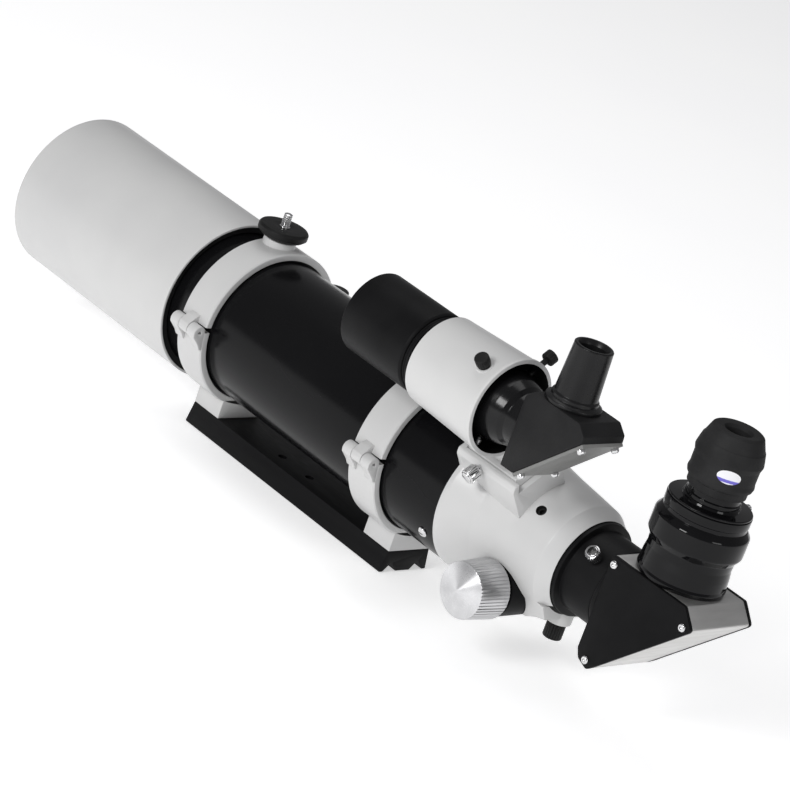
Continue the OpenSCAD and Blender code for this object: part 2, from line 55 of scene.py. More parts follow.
def rounded(points, radius, steps=3, axis=False):
    """A closed outline with softened corners; a corner's third value is its own radius."""
    out = []
    for i, point in enumerate(points):
        p = Vector(point[:2])
        a = Vector(points[i - 1][:2]) - p
        b = Vector(points[(i + 1) % len(points)][:2]) - p
        r = point[2] if len(point) > 2 else radius
        half = a.angle(b) / 2
        if r <= 0 or half > 1.55 or (axis and p.x < 1e-6):
            out.append(p)
            continue
        reach = min(r / math.tan(half), 0.45 * a.length, 0.45 * b.length)
        start = p + a.normalized() * reach
        end = p + b.normalized() * reach
        count = steps if reach < 2 else steps + 4
        for k in range(count + 1):
            t = k / count
            out.append(start * (1 - t) ** 2 + p * 2 * t * (1 - t) + end * t * t)
    return out


def turn(bm, outline, origin, along=ALONG, steps=128, radius=0.3, side=None, sweep=360.0):
    """Spins an outline of (radius, height) about the line through origin."""
    along = Vector(along).normalized()
    side = Vector(side) if side else along.orthogonal()
    side = (side - along * side.dot(along)).normalized()
    base = Vector(origin)
    flat = rounded(outline, radius, axis=True)
    verts = [bm.verts.new((base + side * p.x + along * p.y) * MM) for p in flat]
    pairs = list(zip(verts, verts[1:]))
    if not (flat[0].x < 1e-6 and flat[-1].x < 1e-6):
        pairs.append((verts[-1], verts[0]))
    edges = [bm.edges.new(pair) for pair in pairs]
    full = sweep > 359.9
    made = bmesh.ops.spin(
        bm, geom=verts + edges, cent=base * MM, axis=along, angle=math.radians(sweep),
        steps=steps, use_merge=full,
    )
    if not full:
        last = [e for e in made["geom_last"] if isinstance(e, bmesh.types.BMEdge)]
        bmesh.ops.contextual_create(bm, geom=edges)
        bmesh.ops.contextual_create(bm, geom=last)


def slab(bm, outline, origin, u, v, length, radius=0.0, edge=0.4):
    """Extrudes an outline of (u, v) along u x v and softens the rims of its two ends."""
    u, v, base = Vector(u), Vector(v), Vector(origin)
    flat = rounded(outline, radius)
    face = bm.faces.new([bm.verts.new((base + u * p.x + v * p.y) * MM) for p in flat])
    made = bmesh.ops.extrude_face_region(bm, geom=[face])["geom"]
    moved = [g for g in made if isinstance(g, bmesh.types.BMVert)]
    bmesh.ops.translate(bm, verts=moved, vec=u.cross(v).normalized() * length * MM)
    ends = [g for g in made if isinstance(g, bmesh.types.BMFace)]
    rims = list({e for f in [face, *ends] for e in f.edges})
    if edge > 0:
        bmesh.ops.bevel(
            bm, geom=rims, offset=edge * MM, offset_type="OFFSET", segments=2, profile=0.5,
            affect="EDGES", clamp_overlap=True, material=-1,
        )


def ribbed(bm, origin, along, low, high, r_low, r_high, count, depth, soft=0.6, narrow=0.0, per=8):
    """A round head whose side carries straight grooves; narrow near 1 makes them thin."""
    along = Vector(along).normalized()
    side = along.orthogonal().normalized()
    other = along.cross(side)
    rows = [(low, -soft, 0.0), (low + 0.3 * soft, -0.3 * soft, 0.4), (low + soft, 0.0, 1.0)]
    rows += [(high - soft, 0.0, 1.0), (high - 0.3 * soft, -0.3 * soft, 0.4), (high, -soft, 0.0)]
    loops = []
    total = count * per
    for height, shrink, share in rows:
        base_r = r_low + (r_high - r_low) * (height - low) / (high - low) + shrink
        ring = []
        for i in range(total):
            a = 2 * math.pi * i / total
            groove = max(0.0, math.cos(count * a) - narrow) / (1 - narrow)
            r = base_r - depth * share * groove
            spot = Vector(origin) + along * height + (side * math.cos(a) + other * math.sin(a)) * r
            ring.append(bm.verts.new(spot * MM))
        loops.append([bm.edges.new((ring[i - 1], ring[i])) for i in range(total)])
    for one, two in zip(loops, loops[1:]):
        bmesh.ops.bridge_loops(bm, edges=one + two)
    bmesh.ops.contextual_create(bm, geom=loops[0])
    bmesh.ops.contextual_create(bm, geom=loops[-1])


def piece(name, bm, materials, body, nodes=(), sharp=30.0):
    """Makes the object, shades it, sets it on its body and lets it stand for CAD nodes."""
    bmesh.ops.remove_doubles(bm, verts=bm.verts, dist=1e-7)
    bmesh.ops.recalc_face_normals(bm, faces=bm.faces)
    mesh = bpy.data.meshes.new(name)
    bm.to_mesh(mesh)
    bm.free()
    obj = bpy.data.objects.new(name, mesh)
    bpy.context.scene.collection.objects.link(obj)
    for material in materials:
        mesh.materials.append(material)
    shade(mesh, sharp)
    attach(obj, body)
    if nodes:
        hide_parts(*nodes)
    return obj


def shade(mesh, sharp=30.0):
    """Smooth shading, with edges sharper than the angle kept crisp."""
    mesh.polygons.foreach_set("use_smooth", [True] * len(mesh.polygons))
    mesh.set_sharp_from_angle(angle=math.radians(sharp))


def repaint(obj, index, test):
    """Gives the faces whose centre passes the test another material of the object."""
    for face in obj.data.polygons:
        if test(face.center / MM, face.normal):
            face.material_index = index


def cut(obj, bm, sharp=30.0):
    """Takes the solid in bm out of obj."""
    bmesh.ops.remove_doubles(bm, verts=bm.verts, dist=1e-7)
    bmesh.ops.recalc_face_normals(bm, faces=bm.faces)
    mesh = bpy.data.meshes.new("tool")
    bm.to_mesh(mesh)
    bm.free()
    tool = bpy.data.objects.new("tool", mesh)
    bpy.context.scene.collection.objects.link(tool)
    step = obj.modifiers.new("cut", "BOOLEAN")
    step.operation = "DIFFERENCE"
    step.solver = "EXACT"
    step.use_self = True
    step.object = tool
    graph = bpy.context.evaluated_depsgraph_get()
    result = bpy.data.meshes.new_from_object(obj.evaluated_get(graph))
    obj.modifiers.clear()
    before = obj.data
    obj.data = result
    bpy.data.objects.remove(tool)
    bpy.data.meshes.remove(mesh)
    bpy.data.meshes.remove(before)
    shade(obj.data, sharp)


def finish_of(name, low, high, rough, metallic=0.0, broad=30.0, stretch=(1, 1, 1), grain=900.0,
              bump=0.1, coat=0.0, anisotropic=0.0, centre=None, flat=(1, 1, 1), specular=0.5):
    """A procedural finish: broad colour drift, fine grain in the roughness and in the relief."""
    material = bpy.data.materials.new(name)
    material.use_nodes = True
    tree = material.node_tree
    shader = tree.nodes["Principled BSDF"]
    shader.inputs["Metallic"].default_value = metallic
    shader.inputs["Coat Weight"].default_value = coat
    shader.inputs["Coat Roughness"].default_value = 0.08
    shader.inputs["Specular IOR Level"].default_value = specular
    coords = tree.nodes.new("ShaderNodeTexCoord")
    place = tree.nodes.new("ShaderNodeMapping")
    place.inputs["Scale"].default_value = stretch
    tree.links.new(coords.outputs["Object"], place.inputs["Vector"])
    drift = tree.nodes.new("ShaderNodeTexNoise")
    drift.inputs["Scale"].default_value = broad
    drift.inputs["Detail"].default_value = 5.0
    tree.links.new(place.outputs["Vector"], drift.inputs["Vector"])
    ramp = tree.nodes.new("ShaderNodeValToRGB")
    ramp.color_ramp.elements[0].position = 0.35
    ramp.color_ramp.elements[0].color = (*low, 1)
    ramp.color_ramp.elements[1].position = 0.65
    ramp.color_ramp.elements[1].color = (*high, 1)
    tree.links.new(drift.outputs["Fac"], ramp.inputs["Fac"])
    tree.links.new(ramp.outputs["Color"], shader.inputs["Base Color"])
    fine = tree.nodes.new("ShaderNodeTexNoise")
    fine.inputs["Scale"].default_value = grain
    fine.inputs["Detail"].default_value = 3.0
    tree.links.new(place.outputs["Vector"], fine.inputs["Vector"])
    spread = tree.nodes.new("ShaderNodeMapRange")
    spread.inputs["From Min"].default_value = 0.3
    spread.inputs["From Max"].default_value = 0.7
    spread.inputs["To Min"].default_value = rough[0]
    spread.inputs["To Max"].default_value = rough[1]
    tree.links.new(fine.outputs["Fac"], spread.inputs["Value"])
    tree.links.new(spread.outputs["Result"], shader.inputs["Roughness"])
    relief = tree.nodes.new("ShaderNodeBump")
    relief.inputs["Strength"].default_value = bump
    relief.inputs["Distance"].default_value = 0.0002
    tree.links.new(fine.outputs["Fac"], relief.inputs["Height"])
    tree.links.new(relief.outputs["Normal"], shader.inputs["Normal"])
    if centre:
        shader.inputs["Anisotropic"].default_value = anisotropic
        away = tree.nodes.new("ShaderNodeVectorMath")
        away.operation = "SUBTRACT"
        away.inputs[1].default_value = Vector(centre) * MM
        tree.links.new(coords.outputs["Object"], away.inputs[0])
        level = tree.nodes.new("ShaderNodeVectorMath")
        level.operation = "MULTIPLY"
        level.inputs[1].default_value = flat
        tree.links.new(away.outputs[0], level.inputs[0])
        world = tree.nodes.new("ShaderNodeVectorTransform")
        world.vector_type = "VECTOR"
        world.convert_from = "OBJECT"
        world.convert_to = "WORLD"
        tree.links.new(level.outputs[0], world.inputs[0])
        tree.links.new(world.outputs[0], shader.inputs["Tangent"])
    return material


tube_gloss = finish_of("tube_gloss", (0.004, 0.004, 0.0045), (0.006, 0.006, 0.0065), (0.16, 0.22),
                       broad=8, grain=420, bump=0.02, specular=0.14)
black_inside = finish_of("black_inside", (0.006, 0.006, 0.006), (0.012, 0.012, 0.012), (0.75, 0.9),
                         grain=2500, bump=0.5, specular=0.2)
bm = bmesh.new()
turn(bm, [(51, -160.5), (52.5, -160.5), (52.5, 165), (51, 165)], (0, 0, AXIS), steps=192)
tube = piece("tube_skin", bm, [tube_gloss, black_inside], "tube_assembly", ["main_tube"])
repaint(tube, 1, lambda c, n: math.hypot(c.x, c.z - AXIS) < 51.3)
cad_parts["tube_baffles"].data.materials.clear()
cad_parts["tube_baffles"].data.materials.append(black_inside)

# ---------------------------------------------------------------------------
# Objective: a cell with turned steps, two coated lenses and a ring with two
# spanner notches that holds them.
# ---------------------------------------------------------------------------
black_anodised = finish_of("black_anodised", (0.004, 0.004, 0.0045), (0.007, 0.007, 0.0075), (0.38, 0.5),
                           grain=1500, bump=0.12, specular=0.1)
bm = bmesh.new()
turn(bm, [(40, 151), (50.9, 151), (50.9, 165), (57.85, 165), (57.85, 188), (52, 188), (51.4, 186.8),
          (47, 186.8), (46.4, 188), (41.6, 188), (41.6, 169), (40, 169)], (0, 0, AXIS), steps=160)
piece("objective_cell_skin", bm, [black_anodised], "tube_assembly", ["objective_cell"])

coated_glass = bpy.data.materials.new("coated_glass")
coated_glass.use_nodes = True
glass_tree = coated_glass.node_tree
glass = glass_tree.nodes["Principled BSDF"]
glass.inputs["Transmission Weight"].default_value = 1.0
glass.inputs["IOR"].default_value = 1.52
glass.inputs["Coat Weight"].default_value = 0.6
glass.inputs["Coat Roughness"].default_value = 0.02
glass_coords = glass_tree.nodes.new("ShaderNodeTexCoord")
glass_noise = glass_tree.nodes.new("ShaderNodeTexNoise")
glass_noise.inputs["Scale"].default_value = 14.0
glass_noise.inputs["Detail"].default_value = 4.0
glass_ramp = glass_tree.nodes.new("ShaderNodeValToRGB")
glass_ramp.color_ramp.elements[0].position = 0.3
glass_ramp.color_ramp.elements[0].color = (0.45, 0.85, 0.62, 1)
glass_ramp.color_ramp.elements[1].position = 0.7
glass_ramp.color_ramp.elements[1].color = (0.62, 0.6, 0.92, 1)
glass_dust = glass_tree.nodes.new("ShaderNodeMapRange")
glass_dust.inputs["To Min"].default_value = 0.01
glass_dust.inputs["To Max"].default_value = 0.05
glass_tree.links.new(glass_coords.outputs["Object"], glass_noise.inputs["Vector"])
glass_tree.links.new(glass_noise.outputs["Fac"], glass_ramp.inputs["Fac"])
glass_tree.links.new(glass_ramp.outputs["Color"], glass.inputs["Coat Tint"])
glass_tree.links.new(glass_noise.outputs["Fac"], glass_dust.inputs["Value"])
glass_tree.links.new(glass_dust.outputs["Result"], glass.inputs["Roughness"])


def dish(y, r, rim, bulge, steps=16):
    """A spherical face from the axis out to its rim, as (radius, y)."""
    return [(rim * i / steps, y - bulge * (r - math.sqrt(r * r - (rim * i / steps) ** 2)), 0)
            for i in range(steps + 1)]


bm = bmesh.new()
turn(bm, dish(177, 250, 41.5, -1) + dish(185, 250, 41.5, 1)[::-1], (0, 0, AXIS))
piece("front_lens", bm, [coated_glass], "tube_assembly", ["objective_front_lens"])
bm = bmesh.new()
turn(bm, [(0, 169.2), (41.5, 169.2)] + dish(176.2, 250, 41.5, -1)[::-1], (0, 0, AXIS), radius=0)
piece("rear_lens", bm, [coated_glass], "tube_assembly", ["objective_rear_lens"])
bm = bmesh.new()
turn(bm, [(40, 181.9), (41.5, 181.9), (41.5, 188), (40, 188)], (0, 0, AXIS), radius=0.2)
ring = piece("lens_ring", bm, [black_anodised], "tube_assembly", ["lens_retaining_ring"])
bm = bmesh.new()
slab(bm, [(-43, 186), (43, 186), (43, 190), (-43, 190)], (0, 0, AXIS - 2), (1, 0, 0), (0, 1, 0), 4, edge=0)
cut(ring, bm)

# ---------------------------------------------------------------------------
# Dew shield: a big white tube with a soft rear shoulder, flocked black inside.
# The white paint is used again by the rings, the focuser and the finder's bracket.
# ---------------------------------------------------------------------------
white_paint = finish_of("white_paint", (0.55, 0.55, 0.55), (0.59, 0.59, 0.585), (0.36, 0.46),
                        broad=12, grain=1400, bump=0.06, coat=0.08)
bm = bmesh.new()
turn(bm, [(53.3, 127), (57.8, 127), (57.8, 125.8, 0.4), (59.7, 125.8, 1.2), (59.7, 305.7, 0.7),
          (57.9, 305.7, 0.5), (57.9, 128.8),
          (53.3, 128.8)], (0, 0, AXIS), steps=224, radius=0.5)
shield = piece("dew_shield_skin", bm, [white_paint, black_inside], "tube_assembly", ["dew_shield"])
# Black inside the shield; the black on the shallow rear recess between the rim and the tube is painted shade.
repaint(shield, 1, lambda c, n: math.hypot(c.x, c.z - AXIS) < 58.0 and c.y > 126.3)

# ---------------------------------------------------------------------------
# Dovetail bar: an extruded black bar with two notches underneath, held to the
# rings by four socket screws.
# ---------------------------------------------------------------------------
bar_black = finish_of("bar_black", (0.004, 0.004, 0.0045), (0.007, 0.007, 0.0075), (0.42, 0.55),
                      stretch=(1, 0.08, 1), broad=90, grain=1300, bump=0.15, specular=0.1)
bright_steel = finish_of("bright_steel", (0.62, 0.62, 0.63), (0.74, 0.74, 0.74), (0.1, 0.2), metallic=1.0,
                         broad=120, grain=1800, bump=0.04)
bm = bmesh.new()
slab(bm, [(-21.9, 0), (-18.5, 0), (-13.1, 6.2, 0.5), (-11.9, 6.2, 0.5), (-6.5, 0), (6.5, 0),
          (11.9, 6.2, 0.5), (13.1, 6.2, 0.5), (18.5, 0), (21.9, 0), (21.9, 1.2), (19, 15.4),
          (-19, 15.4), (-21.9, 1.2)], (0, 107.8, 0), (1, 0, 0), UP, 215.6, radius=0.4, edge=0.5)
bar = piece("dovetail_bar_skin", bm, [bar_black], "tube_assembly", ["dovetail_bar"])
bm = bmesh.new()
for ring_y in RING_Y:
    for dy in (-7, 7):
        turn(bm, [(0, -1), (4.9, -1), (4.9, 6.5), (0, 6.5)], (0, ring_y + dy, 0), UP, steps=32, radius=0)
for y in (-6, 24):
    turn(bm, [(0, 13.4), (3.2, 13.4), (3.2, 17), (0, 17)], (-5, y, 0), UP, steps=32, radius=0)
cut(bar, bm)
bm = bmesh.new()
for ring_y in RING_Y:
    for dy in (-7, 7):
        turn(bm, [(0, 4.2), (2.35, 4.2), (2.35, 1.2), (4.7, 1.2, 0.6), (4.7, 6.5), (2.5, 6.5), (2.5, 23),
                  (0, 23)],
             (0, ring_y + dy, 0), UP, steps=6 * 8, radius=0.15)
piece("ring_bolts_skin", bm, [bright_steel], "tube_assembly", ["ring_bolts"])

# ---------------------------------------------------------------------------
# Rings: each has a lower half with a foot and two knuckles, and an upper half
# that swings on a pin at the left and is held by a thumbscrew at the right.
# ---------------------------------------------------------------------------
felt_grey = finish_of("felt_grey", (0.008, 0.008, 0.008), (0.02, 0.02, 0.02), (0.85, 1.0), grain=3500,
                      bump=0.9)
satin_steel = finish_of("satin_steel", (0.42, 0.42, 0.42), (0.52, 0.52, 0.52), (0.25, 0.36), metallic=1.0,
                        broad=200, grain=1500, bump=0.08)
knob_black = finish_of("knob_black", (0.007, 0.007, 0.007), (0.012, 0.012, 0.012), (0.42, 0.55),
                       grain=1600, bump=0.3, specular=0.2)
BAND = [(54, -13.5), (58.1, -13.5), (59, -12.6), (59, 12.6), (58.1, 13.5), (54, 13.5)]
HALF = math.radians(2.03)


def lower_half(bm, y):
    """Band, foot, outer knuckles with their gussets, and the lug for the clamp."""
    turn(bm, BAND, (0, y, AXIS), steps=88, side=(math.cos(HALF), 0, -math.sin(HALF)), sweep=175.94)
    slab(bm, [(-19.5, 15.4), (19.5, 15.4), (19.5, 30), (-19.5, 30)], (0, y + 13.5, 0), (1, 0, 0), UP, 27,
         radius=0.8, edge=0.8)
    for side in (-1, 1):
        turn(bm, [(1.56, -4.3), (5, -4.3, 0.7), (5, 4.3, 0.7), (1.56, 4.3)], (-63, y + side * 9.2, 82),
             steps=48)
        slab(bm, [(-68, 82, 0), (-67.4, 79, 1), (-61.2, 73, 3), (-58.4, 69, 1), (-55, 70), (-55.2, 81.5)],
             (0, y + side * 9.2 + 4.2, 0), (1, 0, 0), UP, 8.4, radius=0.3, edge=0.5)
    slab(bm, [(54.5, 67), (76.5, 67, 2), (76.5, 81, 2), (54.5, 81)], (0, y + 9, 0), (1, 0, 0), UP, 18,
         radius=0.5, edge=1.2)


def upper_half(bm, y):
    """Band, middle knuckle with its arm, and the lug that carries the clamp."""
    turn(bm, BAND, (0, y, AXIS), steps=88, side=(-math.cos(HALF), 0, math.sin(HALF)), sweep=175.94)
    turn(bm, [(1.56, -4.6), (5, -4.6, 0.7), (5, 4.6, 0.7), (1.56, 4.6)], (-63, y, 82), steps=48)
    slab(bm, [(-68, 82, 0), (-67.5, 85, 1.5), (-62, 90, 2), (-57.8, 92), (-55, 88), (-58, 82)],
         (0, y + 4.5, 0), (1, 0, 0), UP, 9, radius=0.3, edge=0.5)
    slab(bm, [(54, 86.5), (76.5, 86.5, 2), (76.5, 95.5, 2), (54, 95.5)], (0, y + 9, 0), (1, 0, 0), UP, 18,
         radius=0.5, edge=1.2)


for label, y in zip(("front", "rear"), RING_Y):
    bm = bmesh.new()
    lower_half(bm, y)
    piece(label + "_ring_base_skin", bm, [white_paint], "tube_assembly", [label + "_ring_base"])
    bm = bmesh.new()
    upper_half(bm, y)
    if label == "front":
        turn(bm, [(3.83, 138.2), (13, 139.3), (11.9, 142, 2), (11.6, 147.3, 0.6), (3.83, 147.3)],
             (0, STUD_Y, 0), UP, steps=64)
    piece(label + "_ring_top_skin", bm, [white_paint], label + "_ring_cover", [label + "_ring_top"])
    bm = bmesh.new()
    turn(bm, [(52.85, -12.5), (53.95, -12.5), (53.95, 12.5), (52.85, 12.5)], (0, y, AXIS), steps=88,
         side=(-math.cos(0.055), 0, math.sin(0.055)), sweep=173.7)
    piece(label + "_felt_skin", bm, [felt_grey], label + "_ring_cover", [label + "_ring_felt"])
    bm = bmesh.new()
    ribbed(bm, (68.5, y, 0), UP, 95.6, 110.6, 8.5, 8.5, 16, 0.9, soft=1.2)
    turn(bm, [(0, 72), (3, 72), (3, 96), (0, 96)], (68.5, y, 0), UP, steps=32)
    piece(label + "_clamp_skin", bm, [knob_black], label + "_clamp", [label + "_clamp_screw"])
bm = bmesh.new()
for y in RING_Y:
    turn(bm, [(52.85, -12.5), (53.95, -12.5), (53.95, 12.5), (52.85, 12.5)], (0, y, AXIS), steps=88,
         side=(math.cos(0.055), 0, -math.sin(0.055)), sweep=173.7)
piece("base_felts_skin", bm, [felt_grey], "tube_assembly", ["ring_base_felts"])
bm = bmesh.new()
for y in RING_Y:
    turn(bm, [(0, -12), (1.5, -12), (1.5, 12), (0, 12)], (-63, y, 82), steps=24)
piece("hinge_pins_skin", bm, [satin_steel], "tube_assembly", ["ring_hinge_pins"])

# ---------------------------------------------------------------------------
# Camera stud: a plain shank in the front ring with a quarter-inch thread at its
# end, and a wide plastic disc that screws up against the camera.
# ---------------------------------------------------------------------------
bm = bmesh.new()
thread = [(0, 138.7), (3.8, 138.7), (3.8, 156.8), (2.62, 157.2)]
for i in range(7):
    thread += [(2.62, 157.4 + 1.27 * i, 0.1), (3.17, 158.0 + 1.27 * i, 0.1)]
thread += [(2.2, 166.1), (0, 166.1)]
turn(bm, thread, (0, STUD_Y, 0), UP, steps=48, radius=0.2)
piece("camera_stud_skin", bm, [bright_steel], "front_ring_cover", ["piggyback_stud"], sharp=50)
bm = bmesh.new()
turn(bm, [(3.87, 147.6), (8, 147.6), (9, 148.6), (15.5, 149.2, 1.5), (18, 151.5, 0.8), (18, 155, 0.8),
          (16.8, 156.5, 0.8), (9, 156.6, 2), (3.87, 156.2)], (0, STUD_Y, 0), UP, steps=96, radius=0.5)
piece("camera_disc_skin", bm, [knob_black], "camera_disc", ["piggyback_disc"])

# ---------------------------------------------------------------------------
# Focuser housing: a flared white casting with a shoe for the finder at the
# upper left, a keel that the drive crosses and three screws in its flange.
# ---------------------------------------------------------------------------
SHOE = math.radians(90 - 128)
ACROSS = (math.cos(SHOE), 0, -math.sin(SHOE))
OUTWARD = (math.sin(SHOE), 0, math.cos(SHOE))
SHAFT = Vector((0, -213.6, 50))


def radial(angle, distance, y, x=0.0, z=AXIS):
    """The point at a distance from the line through (x, z), and the outward direction."""
    a = math.radians(angle)
    out = Vector((math.cos(a), 0, math.sin(a)))
    return Vector((x, y, z)) + out * distance, out


bm = bmesh.new()
slab(bm, [(-250, 46), (-240, 42.5, 5), (-229, 36.5, 5), (-199, 36.5, 3), (-196, 40, 3), (-196, 56),
          (-250, 56)],
     (-27, 0, 0), ALONG, UP, 54, edge=0)
for side in (-1, 1):
    made = bmesh.ops.bisect_plane(
        bm, geom=bm.verts[:] + bm.edges[:] + bm.faces[:], plane_co=Vector((side * 15, 0, 36.5)) * MM,
        plane_no=(side * 18.5, 0, -12), clear_outer=True,
    )
    rim = [g for g in made["geom_cut"] if isinstance(g, bmesh.types.BMEdge)]
    bmesh.ops.contextual_create(bm, geom=rim)
    bmesh.ops.bevel(bm, geom=rim, offset=1.6 * MM, offset_type="OFFSET", segments=3, profile=0.5,
                    affect="EDGES", clamp_overlap=True, material=-1)
turn(bm, [(35.5, -160.7), (53.2, -160.7, 0.5), (53.2, -164.5, 2), (50.2, -173, 8), (45.6, -187, 10),
          (43.2, -206, 10), (41.2, -227, 8), (39.5, -243, 2.5), (37.4, -246.6, 0.8), (33.9, -253, 0.6),
          (29.6, -253), (29.6, -248), (35.5, -246)], (0, 0, AXIS), steps=192)
turn(bm, [(47, -160.8), (50.9, -160.8), (50.9, -141), (47, -141)], (0, 0, AXIS), steps=160)
slab(bm, [(-20, 38), (20, 38), (20, 61, 2.5), (17.5, 64.5, 2.5), (13.9, 64.5), (16.2, 58), (-16.2, 58),
          (-13.9, 64.5), (-17.5, 64.5, 2.5), (-20, 61, 2.5)], (0, -165, AXIS), ACROSS, OUTWARD, 51,
     radius=0.5, edge=1.4)
slab(bm, [(-20, 38), (20, 38), (20, 61, 2.5), (17.5, 64.5, 2.5), (-17.5, 64.5, 2.5), (-20, 61, 2.5)],
     (0, -161, AXIS), ACROSS, OUTWARD, 4.2, radius=0.5, edge=1.4)
turn(bm, [(3.1, 41), (9, 41, 1), (9, 50.6), (3.1, 50.6)], (0, -244, 0), UP, steps=64, radius=0.6)
housing = piece("focuser_housing_skin", bm, [white_paint, black_inside], "tube_assembly", ["focuser_housing"])
bm = bmesh.new()
spot, out = radial(138.5, 37, -224)
turn(bm, [(0, 0), (3.6, 0), (3.6, 12), (0, 12)], spot, out, steps=48, radius=0)
turn(bm, [(0, -250), (35.4, -250), (35.4, -159), (0, -159)], (0, 0, AXIS), steps=160, radius=0)
cut(housing, bm)
bm = bmesh.new()
turn(bm, [(0, -60), (18.9, -60), (18.9, 60), (0, 60)], SHAFT, (1, 0, 0), radius=0)
cut(housing, bm)
# The bore is black inside; the black on the walls and floor of the guide screw's hole is painted shade.
repaint(housing, 1, lambda c, n: math.hypot(c.x, c.z - AXIS) < 35.6 or ((c - spot).cross(out).length < 3.65
        and (abs(n.dot(out)) < 0.3 or (c - spot).dot(out) < 0.5)))
bm = bmesh.new()
turn(bm, [(0, -0.2), (1.7, -0.2), (1.7, 2.6), (3.4, 2.6, 0.4), (3.4, 0), (3.4, -0.8), (0, -0.8)][::-1],
     spot, out, steps=6 * 6, radius=0.2)
piece("guide_screw", bm, [knob_black], "tube_assembly")

bm = bmesh.new()
for a in (-147, -27, 93):
    spot, out = radial(a, 0, -150)
    turn(bm, [(0, 47.5), (1.8, 47.5), (1.8, 52.6), (3.8, 52.6), (3.7, 53.4, 0.8), (2.4, 54.6, 1.4),
              (0, 54.8)],
         spot, out, steps=40)
screws = piece("flange_screws_skin", bm, [bright_steel], "tube_assembly", ["focuser_screws"])
bm = bmesh.new()
for a in (-147, -27, 93):
    spot, out = radial(a, 53.6, -150)
    slab(bm, [(-2, -0.4), (2, -0.4), (2, 0.4), (-2, 0.4)], spot, ALONG, out.cross(Vector(ALONG)), 3, edge=0)
cut(screws, bm)
bm = bmesh.new()
for y in (-205, -238):
    for a in (45, 135):
        spot, out = radial(a, 32.35, y)
        turn(bm, [(0, -2.5), (3, -2.5), (3, 2.5), (0, 2.5)], spot, Vector(ALONG).cross(out), steps=32)
piece("bearings_skin", bm, [satin_steel], "tube_assembly", ["focuser_bearings"])

# ---------------------------------------------------------------------------
# Focus drive: a black block under the housing carries the cross shaft, with a
# turned aluminium knob at the left and a coarse and a fine knob at the right.
# ---------------------------------------------------------------------------
bm = bmesh.new()
turn(bm, [(5.1, -38), (18.6, -38, 1), (18.6, 38, 1), (5.1, 38)], SHAFT, (1, 0, 0), steps=128, radius=0.3)
drive_block = piece("drive_block_skin", bm, [black_anodised], "tube_assembly", ["shaft_block"])
bm = bmesh.new()
turn(bm, [(0, -240), (35.7, -240), (35.7, -180), (0, -180)], (0, 0, AXIS), steps=160, radius=0)
cut(drive_block, bm)
bm = bmesh.new()
slab(bm, [(-240, 20), (-190, 20), (-190, 33.2), (-240, 33.2)], (-40, 0, 0), ALONG, UP, 80, edge=0)
cut(drive_block, bm)
bm = bmesh.new()
turn(bm, [(0, -60), (5, -60), (5, 62), (0, 62)], (0, SHAFT.y, SHAFT.z), (1, 0, 0), steps=48)
piece("drive_shaft_skin", bm, [satin_steel], "coarse_drive", ["focus_shaft"])

turned_aluminium = finish_of("turned_aluminium", (0.60, 0.60, 0.61), (0.72, 0.72, 0.73), (0.26, 0.34),
                             metallic=1.0, broad=60, grain=1600, bump=0.05, anisotropic=0.85,
                             centre=(0, SHAFT.y, SHAFT.z), flat=(0, 1, 1))
knurled_aluminium = finish_of("knurled_aluminium", (0.55, 0.55, 0.56), (0.68, 0.68, 0.69), (0.3, 0.42),
                              metallic=1.0, stretch=(0.1, 1, 1), broad=200, grain=1500, bump=0.1)
for label, sign, length in (("left", -1, 25.0), ("right", 1, 16.0)):
    bm = bmesh.new()
    along = (sign, 0, 0)
    ribbed(bm, (0, SHAFT.y, SHAFT.z), along, 41, 41 + length, 20, 18.6, 52, 0.55, soft=0.7, narrow=0.35,
           per=10)
    tip = 41 + length
    if label == "left":
        turn(bm, [(0, tip - 0.4), (17.7, tip - 0.4), (17.7, tip, 0.3), (1.2, tip + 3.6, 1.2),
                  (0, tip + 3.75)],
             (0, SHAFT.y, SHAFT.z), along, steps=160, radius=0.2)
    knob = piece(label + "_focus_knob_skin", bm, [knurled_aluminium, turned_aluminium], "coarse_drive",
                 [label + "_focus_knob"], sharp=24)
    repaint(knob, 1, lambda c, n: abs(n.x) > 0.6)
bm = bmesh.new()
ribbed(bm, (0, SHAFT.y, SHAFT.z), (1, 0, 0), 62.5, 76.3, 11, 11, 36, 0.5, soft=1.2, narrow=0.2)
piece("fine_knob_skin", bm, [black_anodised], "fine_drive", ["fine_focus_knob"])
bm = bmesh.new()
turn(bm, [(0, -54), (3, -54), (3, -39.5), (0, -39.5)], (0, -244, 0), (0, 0, -1), steps=32, radius=0.2)
ribbed(bm, (0, -244, 0), (0, 0, -1), -40, -29, 6.5, 6.5, 22, 0.5, soft=0.8)
piece("tension_screw_skin", bm, [knob_black], "tension", ["tension_screw"])

# ---------------------------------------------------------------------------
# Drawtube and eyepiece adapter: a black tube that slides in the housing, with
# a collar and two chrome thumbscrews at its open end.
# ---------------------------------------------------------------------------
bm = bmesh.new()
turn(bm, [(26.6, -253.3), (29, -253.3), (29, -120, 0.6), (26.6, -120, 0.6)], (0, 0, AXIS), steps=144)
draw = piece("drawtube_skin", bm, [black_anodised, black_inside], "drawtube_group", ["drawtube"])
repaint(draw, 1, lambda c, n: math.hypot(c.x, c.z - AXIS) < 26.8)
bm = bmesh.new()
turn(bm, [(25.46, -287.5), (28.6, -287.5), (29.1, -287, 0.5), (29.1, -284.4), (28.7, -284), (28.7, -283.4),
          (29.1, -283), (29.1, -256.6, 0.8), (33.6, -256, 0.6), (33.6, -253.3), (26.5, -253.3),
          (26.5, -244), (25.46, -244)], (0, 0, AXIS), steps=160)
piece("adapter_skin", bm, [black_anodised], "drawtube_group", ["eyepiece_adapter"])
